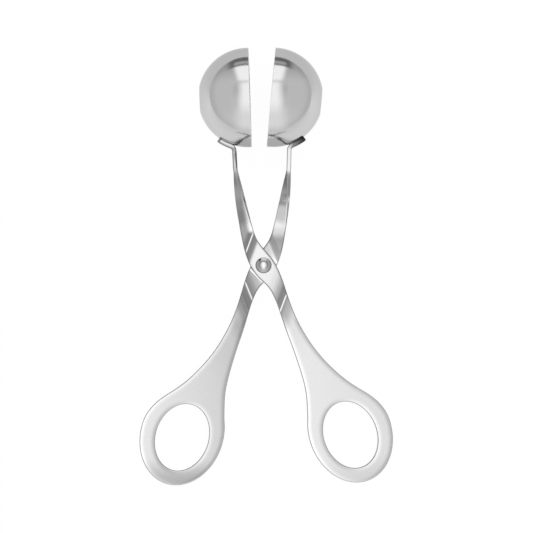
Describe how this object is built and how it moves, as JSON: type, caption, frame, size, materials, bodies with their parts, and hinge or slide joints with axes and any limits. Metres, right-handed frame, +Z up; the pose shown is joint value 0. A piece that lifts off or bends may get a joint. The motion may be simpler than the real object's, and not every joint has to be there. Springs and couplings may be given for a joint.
{
  "type": "meatball tongs",
  "caption": "Scissor-action meatball tongs: crossed stamped steel arms on a rivet, with oval finger loops and hollow half-ball cups that close into a ball.",
  "frame": {"origin": "middle of the bounding box at its bottom, on the table that the tongs lie on", "axes": "+Y runs along the tongs from the finger loops to the cups, +X to the right with the front arm on top, +Z up from the table"},
  "size_m": [0.1154, 0.1972, 0.0452],
  "materials": {
    "arm_steel": "fine satin stainless steel",
    "cup_steel": "smooth satin stainless steel, brighter than the arms",
    "rivet_steel": "semi-bright stainless steel"
  },
  "bodies": {
    "front_half": {"front_arm": "arm_steel", "left_cup": "cup_steel", "pivot_rivet": "rivet_steel"},
    "back_half": {"back_arm": "arm_steel", "right_cup": "cup_steel"}
  },
  "joints": [
    {"name": "pivot", "type": "hinge", "parent": "front_half", "child": "back_half", "pos_m": [0, 0.00017, 0.0132], "axis": [0, -0.1231, 0.9924], "range_deg": [-28, 7]}
  ]
}
